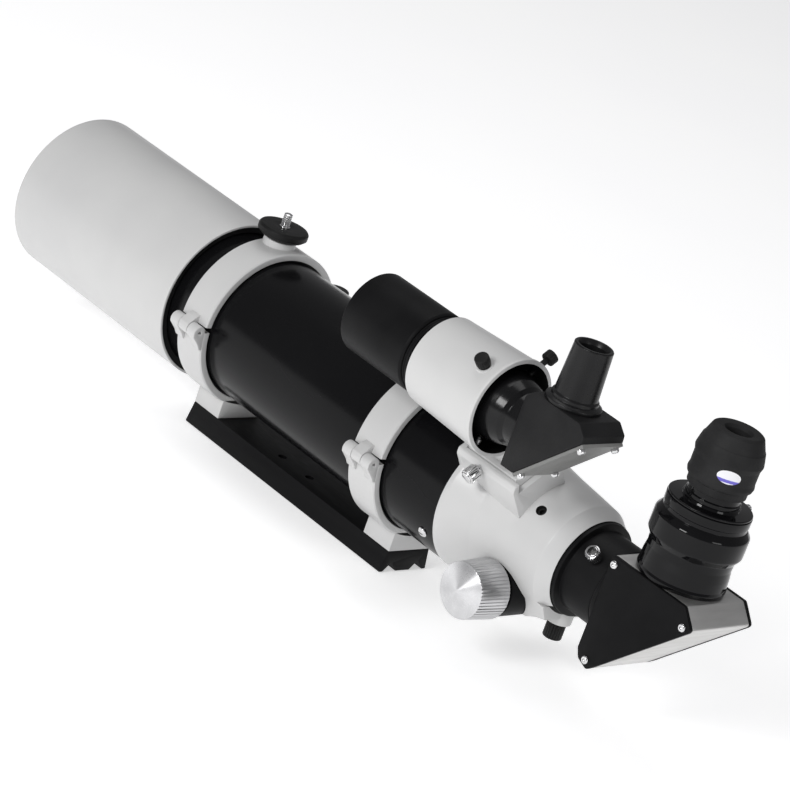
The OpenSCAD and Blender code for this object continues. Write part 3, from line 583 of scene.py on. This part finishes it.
for label, angle in (("left", 140), ("right", 20)):
    spot, out = radial(angle, 0, -271)
    bm = bmesh.new()
    turn(bm, [(0, 26), (2, 26), (2, 29.4), (3.4, 29.5), (3.4, 30.6), (0, 30.6)], spot, out, steps=40)
    ribbed(bm, spot, out, 30.4, 37.6, 5, 5, 22, 0.4, soft=0.7)
    turn(bm, [(0, 37.4), (3.9, 37.4), (3.4, 38.2, 0.6), (0, 38.5)], spot, out, steps=40)
    piece("adapter_screw_" + label + "_skin", bm, [bright_steel],
          "adapter_screw_" + ("a" if label == "left" else "b"), ["adapter_screw_" + label], sharp=40)

# ---------------------------------------------------------------------------
# Mirror diagonal: a silver body between two black side plates, a chrome nose
# that plugs into the adapter, and a slanted mirror inside.
# ---------------------------------------------------------------------------
body_silver = finish_of("body_silver", (0.54, 0.535, 0.525), (0.62, 0.615, 0.605), (0.34, 0.46), metallic=0.9,
                        stretch=(0.15, 1, 1), broad=150, grain=900, bump=0.12)
plate_black = finish_of("plate_black", (0.003, 0.003, 0.0035), (0.005, 0.005, 0.0055), (0.4, 0.5),
                        broad=40, grain=1700, bump=0.15, specular=0.1)
mirror_face = finish_of("mirror_face", (0.86, 0.87, 0.88), (0.9, 0.91, 0.92), (0.01, 0.03), metallic=1.0,
                        broad=10, grain=300, bump=0.0)
PLATE = [(-288, 116, 2), (-352, 116, 3), (-363, 104, 3), (-305, 45, 3), (-300, 40.5, 3), (-291, 44, 4),
         (-288, 50, 2)]
bm = bmesh.new()
slab(bm, [(-288.2, 115.8, 1), (-351.8, 115.8, 2), (-362.8, 104.2, 2), (-304.8, 45.2, 2), (-300.2, 40.7, 2),
          (-291.2, 44.2, 2), (-288.2, 50.2, 1)][::-1], (-27, 0, 0), ALONG, UP, 54, edge=0.3)
diagonal = piece("diagonal_body_skin", bm, [body_silver, black_inside], "diagonal", ["diagonal_body"])
SLANT = math.sqrt(0.5)
for origin, along, low, high in (((0, 0, AXIS), ALONG, -360, -280), ((0, EYE_Y, 0), UP, 40, 135)):
    bm = bmesh.new()
    turn(bm, [(0, low), (23.6, low), (23.6, high), (0, high)], origin, along, radius=0)
    bmesh.ops.remove_doubles(bm, verts=bm.verts, dist=1e-7)
    made = bmesh.ops.bisect_plane(
        bm, geom=bm.verts[:] + bm.edges[:] + bm.faces[:], plane_co=Vector((0, EYE_Y, AXIS)) * MM,
        plane_no=(0, SLANT, SLANT), clear_inner=True,
    )
    bmesh.ops.contextual_create(bm, geom=[g for g in made["geom_cut"] if isinstance(g, bmesh.types.BMEdge)])
    cut(diagonal, bm)
bm = bmesh.new()
turn(bm, [(0, -291), (25.24, -291), (25.24, -280), (0, -280)], (0, 0, AXIS), radius=0)
cut(diagonal, bm)
bm = bmesh.new()
slab(bm, [(-30.5, -9.2), (30.5, -9.2), (30.5, 0.3), (-30.5, 0.3)], (-24.5, EYE_Y, AXIS), (0, SLANT, -SLANT),
     (0, SLANT, SLANT), 49, edge=0)
cut(diagonal, bm)
repaint(diagonal, 1, lambda c, n: abs(c.x) < 26.4 and c.y < -289.7 and c.z < 114.3 and c.y + c.z > -256.5
        and 0.688 * c.z - 0.7255 * c.y < 333.4 and 0.3624 * c.y - 0.932 * c.z < -148.2
        and 0.894 * c.y - 0.447 * c.z < -281.7)
bm = bmesh.new()
slab(bm, [(-30, -9), (30, -9), (30, 0), (-30, 0)], (-24, EYE_Y, AXIS), (0, SLANT, -SLANT),
     (0, SLANT, SLANT), 48,
     edge=0.3)
mirror = piece("mirror_skin", bm, [black_inside, mirror_face], "diagonal", ["diagonal_mirror"])
repaint(mirror, 1, lambda c, n: n.y * SLANT + n.z * SLANT > 0.9)
bm = bmesh.new()
for x in (-30, 27.02):
    slab(bm, PLATE[::-1], (x, 0, 0), ALONG, UP, 2.98, radius=1, edge=0.45)
piece("side_plates_skin", bm, [plate_black], "diagonal", ["diagonal_side_plates"])
bm = bmesh.new()
turn(bm, [(23.6, -291), (25.2, -291), (25.2, -288.1), (25.4, -288.1), (25.4, -259.6, 0.3), (24.8, -259),
          (23.6, -259)],
     (0, 0, AXIS), steps=144)
piece("nose_skin", bm, [bright_steel], "diagonal", ["diagonal_nose"])
bm = bmesh.new()
for y, z in ((-291.6, 110.8), (-356, 103.6), (-297.4, 46)):
    for side in (-1, 1):
        turn(bm, [(0, -8), (1.25, -8), (1.25, 0), (2.8, 0), (2.7, 0.9, 0.6), (2.1, 1.6, 0.5),
                  (1.15, 1.6, 0.1),
                  (1.1, 0.8, 0), (0, 0.7)], (side * 30.02, y, z), (side, 0, 0), steps=36, radius=0.15)
piece("plate_screws_skin", bm, [bright_steel], "diagonal", ["diagonal_screws"])

# ---------------------------------------------------------------------------
# Eyepiece holder: a gloss black turned collar with a bulged ring and a small
# chrome lock screw.
# ---------------------------------------------------------------------------
holder_gloss = finish_of("holder_gloss", (0.003, 0.003, 0.0035), (0.005, 0.005, 0.0055), (0.05, 0.09),
                         broad=20, grain=500, bump=0.015, specular=0.2)
bm = bmesh.new()
turn(bm, [(25.46, 116.02), (29, 116.02), (29.4, 118.6, 1), (28.9, 120.4, 0.6), (28.5, 127, 3), (27.7, 133, 4),
          (28.2, 138.5, 3), (31.1, 143, 3.5), (31.1, 156, 3.5), (28.4, 159.2, 1), (27.4, 160, 0.3),
          (27.4, 162.4, 0.3),
          (28, 163, 0.5), (28, 168.6, 0.5), (25.46, 168.6)], (0, EYE_Y, 0), UP, steps=160)
piece("holder_skin", bm, [holder_gloss], "diagonal", ["eyepiece_holder"])
LOCK = Vector((math.cos(math.radians(-8)), math.sin(math.radians(-8)), 0))
bm = bmesh.new()
turn(bm, [(0, 26), (1.5, 26), (1.5, 28.4), (0, 28.4)], (0, EYE_Y, 165.4), LOCK, steps=32)
ribbed(bm, (0, EYE_Y, 165.4), LOCK, 28.3, 34.3, 3.2, 3.2, 18, 0.3, soft=0.6)
piece("holder_screw_skin", bm, [bright_steel], "holder_lock", ["holder_screw"], sharp=40)

# ---------------------------------------------------------------------------
# Eyepiece: a chrome barrel, a gloss black body, two lens groups and a folded
# rubber cup that carries a small blank oval label.
# ---------------------------------------------------------------------------
rubber = finish_of("rubber", (0.012, 0.012, 0.0125), (0.019, 0.019, 0.0195), (0.6, 0.75), broad=60,
                   grain=2200,
                   bump=0.35, specular=0.2)
bm = bmesh.new()
turn(bm, [(23.6, 128), (25, 128), (25.4, 128.5), (25.4, 140), (24.8, 140.6), (24.8, 146), (25.4, 146.6),
          (25.4, 168.9), (23.6, 168.9)], (0, EYE_Y, 0), UP, steps=144)
piece("barrel_skin", bm, [bright_steel], "eyepiece", ["eyepiece_barrel"])
bm = bmesh.new()
turn(bm, [(15, 168.92), (27.4, 168.92), (27.6, 169.2, 0.2), (27.6, 170.1, 0.3), (27.1, 170.5, 0.3),
          (19.4, 170.6, 0.3),
          (18.9, 172, 0.5), (18.1, 172.4, 0.2), (18.1, 174.6, 0.4), (17.2, 175.2, 0.3), (17.2, 178, 2),
          (17.3, 208), (10, 208), (10, 205), (15, 203)], (0, EYE_Y, 0), UP, steps=144)
piece("eyepiece_body_skin", bm, [holder_gloss], "eyepiece", ["eyepiece_body"])
bm = bmesh.new()
turn(bm, [(0, 134), (21, 134), (23.55, 136), (23.55, 142), (21, 144), (0, 144)], (0, EYE_Y, 0), UP, steps=96)
turn(bm, [(0, 192), (14.95, 193), (14.95, 200), (0, 202)], (0, EYE_Y, 0), UP, steps=96)
piece("eyepiece_glass", bm, [coated_glass], "eyepiece", ["eyepiece_lenses"])
bm = bmesh.new()
turn(bm, [(17.45, 179), (19.4, 179.4, 0.5), (19.6, 184.4, 0.5), (21.2, 185.2, 0.6), (21.9, 187.4, 1.2),
          (21.3, 190.4, 2), (21.35, 199, 3), (22.4, 202.6, 1.6), (21.6, 206.4, 1.6), (20.6, 210.6, 0.6),
          (20, 211.3, 0.5), (16.9, 219, 1.8), (15.2, 220, 1), (9.6, 219.4, 0.9), (8.6, 217, 0.5), (9, 208.05),
          (17.45, 208.05)], (0, EYE_Y, 0), UP, steps=160, radius=0.4)
piece("eyecup_skin", bm, [rubber], "eyepiece", ["eyecup"])

label_print = bpy.data.materials.new("label_print")
label_print.use_nodes = True
label_tree = label_print.node_tree
label_shader = label_tree.nodes["Principled BSDF"]
label_shader.inputs["Roughness"].default_value = 0.3
label_coords = label_tree.nodes.new("ShaderNodeTexCoord")
label_split = label_tree.nodes.new("ShaderNodeSeparateXYZ")
label_height = label_tree.nodes.new("ShaderNodeMapRange")
label_height.inputs["From Min"].default_value = 0.1911
label_height.inputs["From Max"].default_value = 0.1999
label_noise = label_tree.nodes.new("ShaderNodeTexNoise")
label_noise.inputs["Scale"].default_value = 900.0
label_mix = label_tree.nodes.new("ShaderNodeMath")
label_mix.operation = "MULTIPLY_ADD"
label_mix.inputs[1].default_value = 0.05
label_ramp = label_tree.nodes.new("ShaderNodeValToRGB")
label_ramp.color_ramp.elements[0].position = 0.0
label_ramp.color_ramp.elements[0].color = (0.75, 0.75, 0.82, 1)
label_ramp.color_ramp.elements[1].position = 1.0
label_ramp.color_ramp.elements[1].color = (0.8, 0.8, 0.82, 1)
for position, colour in ((0.11, (0.75, 0.75, 0.82, 1)), (0.14, (0.12, 0.1, 0.5, 1)),
                         (0.34, (0.14, 0.12, 0.55, 1)),
                         (0.37, (0.8, 0.8, 0.84, 1))):
    stop = label_ramp.color_ramp.elements.new(position)
    stop.color = colour
label_tree.links.new(label_coords.outputs["Object"], label_split.inputs[0])
label_tree.links.new(label_split.outputs["Z"], label_height.inputs["Value"])
label_tree.links.new(label_coords.outputs["Object"], label_noise.inputs["Vector"])
label_tree.links.new(label_noise.outputs["Fac"], label_mix.inputs[0])
label_tree.links.new(label_height.outputs["Result"], label_mix.inputs[2])
label_tree.links.new(label_mix.outputs[0], label_ramp.inputs["Fac"])
label_tree.links.new(label_ramp.outputs["Color"], label_shader.inputs["Base Color"])
bm = bmesh.new()
oval = bmesh.ops.create_circle(bm, cap_ends=True, segments=48, radius=1.0)["verts"]
bmesh.ops.inset_individual(bm, faces=bm.faces[:], thickness=0.08)
bmesh.ops.triangulate(bm, faces=bm.faces[:])
for _ in range(2):
    bmesh.ops.subdivide_edges(bm, edges=bm.edges[:], cuts=1, use_grid_fill=True)
for v in bm.verts:
    turn_by = math.radians(228) + v.co.x * 7.8 / 21.6
    v.co = Vector((21.62 * math.cos(turn_by), EYE_Y + 21.62 * math.sin(turn_by), 195.5 + 4.3 * v.co.y)) * MM
piece("cup_label", bm, [label_print], "eyepiece")

# ---------------------------------------------------------------------------
# Finder's bracket: a white tube on a stem and a dovetail foot, with two black
# thumbscrews, their lock nuts and a sprung plunger that aim the finder.
# ---------------------------------------------------------------------------
FX, FZ = -70.0, 174.0
AIM_Y = -191
AIM_ANGLES = (134, 40)
bm = bmesh.new()
turn(bm, [(26, -203.4), (34.2, -203.4, 0.8), (34.2, -201, 0.4), (33.6, -200.6, 0.4), (30.9, -138, 0.5),
          (26, -138)],
     (FX, 0, FZ), steps=176)
slab(bm, [(-9, 60), (9, 60), (9, 83.5), (-9, 83.5)], (0, -152, AXIS), ACROSS, OUTWARD, 48, radius=1, edge=1)
slab(bm, [(-13.1, 65.2), (-15.9, 58.3), (15.9, 58.3), (13.1, 65.2)], (0, -166, AXIS), ACROSS, OUTWARD, 46,
     radius=0.5, edge=0.7)
for a in AIM_ANGLES:
    spot, out = radial(a, 0, AIM_Y, FX, FZ)
    turn(bm, [(2.06, 31.6), (5.5, 31.6), (5.5, 33.9, 0.5), (2.06, 33.9)], spot, out, steps=48)
bracket = piece("finder_bracket_skin", bm, [white_paint, black_inside], "finder_mount", ["finder_bracket"])
bm = bmesh.new()
turn(bm, [(0, -212), (31.8, -212), (29.2, -156), (27.4, -152), (27.4, -130), (0, -130)], (FX, 0, FZ),
     steps=176,
     radius=0)
cut(bracket, bm)
repaint(bracket, 1, lambda c, n: math.hypot(c.x - FX, c.z - FZ) < 31.3 and -203.3 < c.y < -138.1)
bm = bmesh.new()
for a in AIM_ANGLES:
    spot, out = radial(a, 0, AIM_Y, FX, FZ)
    turn(bm, [(2.06, 33.95), (4.3, 33.95), (4.3, 35.5), (2.06, 35.5)], spot, out, steps=6 * 6, radius=0.3)
piece("lock_nuts_skin", bm, [knob_black], "finder_mount", ["bracket_lock_nuts"])
for label, body, a, seat in (("left", "finder_screw_a", AIM_ANGLES[0], 35.7),
                             ("right", "finder_screw_b", AIM_ANGLES[1], 42)):
    spot, out = radial(a, 0, AIM_Y, FX, FZ)
    bm = bmesh.new()
    turn(bm, [(0, 26.5), (2, 26.5), (2, seat + 0.2), (0, seat + 0.2)], spot, out, steps=24, radius=0.2)
    ribbed(bm, spot, out, seat, seat + 6, 4.8, 4.8, 18, 0.4, soft=0.8)
    piece("bracket_screw_" + label + "_skin", bm, [knob_black], body, ["bracket_screw_" + label])
spot, out = radial(261, 0, AIM_Y, FX, FZ)
bm = bmesh.new()
turn(bm, [(0, 26.4), (1.5, 26.4, 0.6), (1.5, 27.2), (2.58, 27.4), (2.58, 35), (0, 35)], spot, out, steps=32)
piece("plunger_skin", bm, [satin_steel], "finder_mount", ["bracket_plunger"])
bm = bmesh.new()
spot = Vector((0, -183, AXIS)) + Vector(ACROSS) * -15.8 + Vector(OUTWARD) * 61.5
out = -Vector(ACROSS)
turn(bm, [(0, 0), (2, 0), (2, 4.5), (3.6, 4.6), (3.6, 6.4, 0.4), (0, 6.4)], spot, out, steps=40)
ribbed(bm, spot, out, 6.2, 14.4, 5.2, 5.2, 20, 0.45, soft=0.7)
turn(bm, [(0, 14.2), (4.2, 14.2), (4, 15.2, 0.5), (0, 15.4)], spot, out, steps=40)
piece("shoe_screw_skin", bm, [bright_steel], "shoe_lock", ["shoe_screw"], sharp=40)

# ---------------------------------------------------------------------------
# Finder: a black tube held in the bracket by an O-ring, a lock ring and a
# deep dew shield that carries the lens.
# ---------------------------------------------------------------------------
finder_gloss = finish_of("finder_gloss", (0.004, 0.004, 0.0045), (0.007, 0.007, 0.0075), (0.14, 0.22),
                         broad=25, grain=700, bump=0.03, specular=0.25)
bm = bmesh.new()
turn(bm, [(15, -226), (18, -226, 0.5), (18.2, -216.5, 1), (20.5, -213.6, 1), (22.6, -208, 1.5),
          (24.6, -199, 2),
          (25.2, -190, 2), (25.2, -148), (24.2, -147.6), (24.2, -142.4), (25.2, -142), (25.2, -137.6),
          (26.2, -137.4),
          (26.2, -134.4), (23.4, -134.4), (23.4, -190), (16, -213), (15, -216)], (FX, 0, FZ), steps=160)
piece("finder_tube_skin", bm, [finder_gloss], "finder", ["finder_tube"])
bm = bmesh.new()
turn(bm, [(25.6 + 1.3 * math.cos(i * math.pi / 8), -145 + 1.3 * math.sin(i * math.pi / 8),
           0) for i in range(16)],
     (FX, 0, FZ), steps=128)
piece("o_ring_skin", bm, [rubber], "finder", ["finder_o_ring"])
bm = bmesh.new()
turn(bm, [(23.5, -134.2), (27, -134.2, 0.4), (27, -133, 0.2), (26.6, -132.8), (26.6, -131.8), (27, -131.6),
          (27, -130.4, 0.4), (23.5, -130.4)], (FX, 0, FZ), steps=128, radius=0.15)
piece("lock_ring_skin", bm, [black_anodised], "finder_lock", ["finder_lock_ring"])
bm = bmesh.new()
turn(bm, [(24.6, -130), (27.6, -130, 0.4), (28.6, -128.4, 0.5), (28.6, -71, 0.6), (27.9, -70.4, 0.4),
          (27, -70.4, 0.4),
          (26.8, -116), (25.6, -116), (25.6, -119.8), (24.6, -119.8)], (FX, 0, FZ), steps=160)
cell = piece("finder_cell_skin", bm, [black_anodised, black_inside], "finder_front", ["finder_cell"])
repaint(cell, 1, lambda c, n: math.hypot(c.x - FX, c.z - FZ) < 26.95)
bm = bmesh.new()
turn(bm, dish(-121.8, 150, 25.5, -1) + dish(-115.4, 150, 25.5, 1)[::-1], (FX, 0, FZ), steps=96)
piece("finder_glass", bm, [coated_glass], "finder_front", ["finder_lens"])

# ---------------------------------------------------------------------------
# Right-angle head of the finder: a moulded prism housing, a grey slanted cover
# with four screws, a roof prism and an upright eyepiece.
# ---------------------------------------------------------------------------
moulded_black = finish_of("moulded_black", (0.007, 0.007, 0.0075), (0.011, 0.011, 0.0115), (0.45, 0.58),
                          broad=50, grain=1500, bump=0.3, specular=0.2)
moulded_grey = finish_of("moulded_grey", (0.16, 0.16, 0.155), (0.2, 0.2, 0.195), (0.4, 0.52), broad=50,
                         grain=1500, bump=0.2)
bm = bmesh.new()
slab(bm, [(-226.1, 195.5, 2), (-231, 200.9, 2), (-272, 200.9, 2), (-279, 195, 2), (-279.5, 190.5, 0.5),
          (-237, 148, 0.5), (-226.1, 148, 1)][::-1], (FX - 19, 0, 0), ALONG, UP, 38, edge=1.2)
prism_box = piece("prism_housing_skin", bm, [moulded_black, black_inside], "finder", ["prism_housing"])
bm = bmesh.new()
turn(bm, [(0, -262), (15, -262), (15, -220), (0, -220)], (FX, 0, FZ), radius=0)
cut(prism_box, bm)
bm = bmesh.new()
turn(bm, [(0, 170), (12, 170), (12, 210), (0, 210)], (FX, -247.5, 0), UP, radius=0)
cut(prism_box, bm)
bm = bmesh.new()
slab(bm, [(-254, 160), (-232, 160), (-232, 191), (-254, 191)], (FX - 15, 0, 0), ALONG, UP, 30, edge=0)
cut(prism_box, bm)
bm = bmesh.new()
slab(bm, [(-233, 161), (-233, 190.5), (-252, 190.5), (-252, 180)], (FX - 14.5, 0, 0), ALONG, UP, 29, edge=0.3)
piece("prism_glass", bm, [coated_glass], "finder", ["prism"])
bm = bmesh.new()
slab(bm, [(-279.6, 190.36), (-281.1, 188.86), (-238.6, 146.36), (-237.1, 147.86)], (FX - 18.5, 0, 0),
     ALONG, UP, 37,
     edge=0.25)
for x in (-15.5, 15.5):
    for y, z in ((-240.9, 149.5), (-277.3, 185.9)):
        turn(bm, [(0, 0), (2.6, 0), (2.6, 2.4, 0.4), (1.8, 3.5, 0.5), (0.5, 3.5, 0), (0.5, 2.8, 0), (0, 2.8)],
             (FX + x, y, z), (0, -SLANT, -SLANT), steps=32, radius=0.2)
cover = piece("prism_cover_skin", bm, [moulded_grey, bright_steel], "finder", ["prism_plate"])
repaint(cover, 1, lambda c, n: (c.y + c.z + 92.24) < -0.15)
eyepiece_satin = finish_of("eyepiece_satin", (0.006, 0.006, 0.0065), (0.009, 0.009, 0.0095), (0.26, 0.34),
                           broad=40, grain=1400, bump=0.08, specular=0.25)
bm = bmesh.new()
turn(bm, [(11, 201.04), (18.4, 201.04), (18.4, 203.2, 0.8), (16.6, 204.2, 0.8), (15.4, 204.6, 0.4),
          (15.4, 206.6, 0.7),
          (14.2, 207.6, 0.6), (12.75, 238.2, 0.5), (12.75, 239.8, 0.6), (12, 240.5, 0.5), (10.6, 240.4, 0.5),
          (9, 237.5, 0.8), (9, 232), (0, 231), (0, 227), (11, 226.5)], (FX, -247.5, 0), UP, steps=144)
finder_eye = piece("finder_eyepiece_skin", bm, [eyepiece_satin, coated_glass], "finder", ["finder_eyepiece"])
repaint(finder_eye, 1, lambda c, n: math.hypot(c.x - FX, c.y + 247.5) < 8.9 and c.z > 230)

# ---------------------------------------------------------------------------
# Studio: a plain pale floor, a wide key light at the left of the camera, a
# weaker fill and a top light, and the camera at the viewing angle of the picture.
# ---------------------------------------------------------------------------
floor_paint = finish_of("floor_paint", (0.86, 0.86, 0.87), (0.88, 0.88, 0.88), (0.7, 0.8), broad=3, grain=200,
                        bump=0.02, specular=0.2)
floor_shader = floor_paint.node_tree.nodes["Principled BSDF"]
floor_shader.inputs["Emission Color"].default_value = (1, 1, 1, 1)
floor_shader.inputs["Emission Strength"].default_value = 0.5
bm = bmesh.new()
bmesh.ops.create_grid(bm, x_segments=2, y_segments=2, size=30.0)
bmesh.ops.translate(bm, verts=bm.verts[:], vec=(0, 0, -0.0005))
floor_mesh = bpy.data.meshes.new("floor")
bm.to_mesh(floor_mesh)
bm.free()
floor = bpy.data.objects.new("floor", floor_mesh)
floor_mesh.materials.append(floor_paint)
bpy.context.scene.collection.objects.link(floor)

RIGHT = Vector((0.70358, -0.63512, 0.31880))
TOP = Vector((0.01688, 0.46343, 0.88600))
VIEW = Vector((0.71044, 0.61797, -0.33677))
camera_data = bpy.data.cameras.new("camera")
camera_data.lens = 150.69
camera_data.sensor_width = 36.0
camera_data.clip_end = 100.0
camera = bpy.data.objects.new("camera", camera_data)
bpy.context.scene.collection.objects.link(camera)
camera.matrix_world = Matrix((
    (RIGHT.x, TOP.x, -VIEW.x, -1.5739),
    (RIGHT.y, TOP.y, -VIEW.y, -1.4185),
    (RIGHT.z, TOP.z, -VIEW.z, 0.8480),
    (0, 0, 0, 1),
))
bpy.context.scene.camera = camera


def softbox(name, place, aim, width, height, power):
    """An area light that points from one place to another, in metres and watts."""
    data = bpy.data.lights.new(name, "AREA")
    data.shape = "RECTANGLE"
    data.size = width
    data.size_y = height
    data.energy = power
    light = bpy.data.objects.new(name, data)
    bpy.context.scene.collection.objects.link(light)
    light.location = place
    light.rotation_euler = (Vector(aim) - Vector(place)).to_track_quat("-Z", "Y").to_euler()


softbox("key", (-2.2, -0.3, 1.2), (0, 0, 0.08), 0.7, 0.8, 31)
softbox("fill", (-0.2, -2.4, 0.9), (0, -0.1, 0.08), 0.8, 0.8, 9)
softbox("top", (0.2, 0.4, 2.2), (0, 0, 0.08), 1.4, 1.4, 12)
world = bpy.data.worlds.new("studio")
world.use_nodes = True
world.node_tree.nodes["Background"].inputs["Color"].default_value = (0.98, 0.98, 1.0, 1)
world.node_tree.nodes["Background"].inputs["Strength"].default_value = 0.25
bpy.context.scene.world = world
bpy.context.scene.view_settings.view_transform = "Standard"
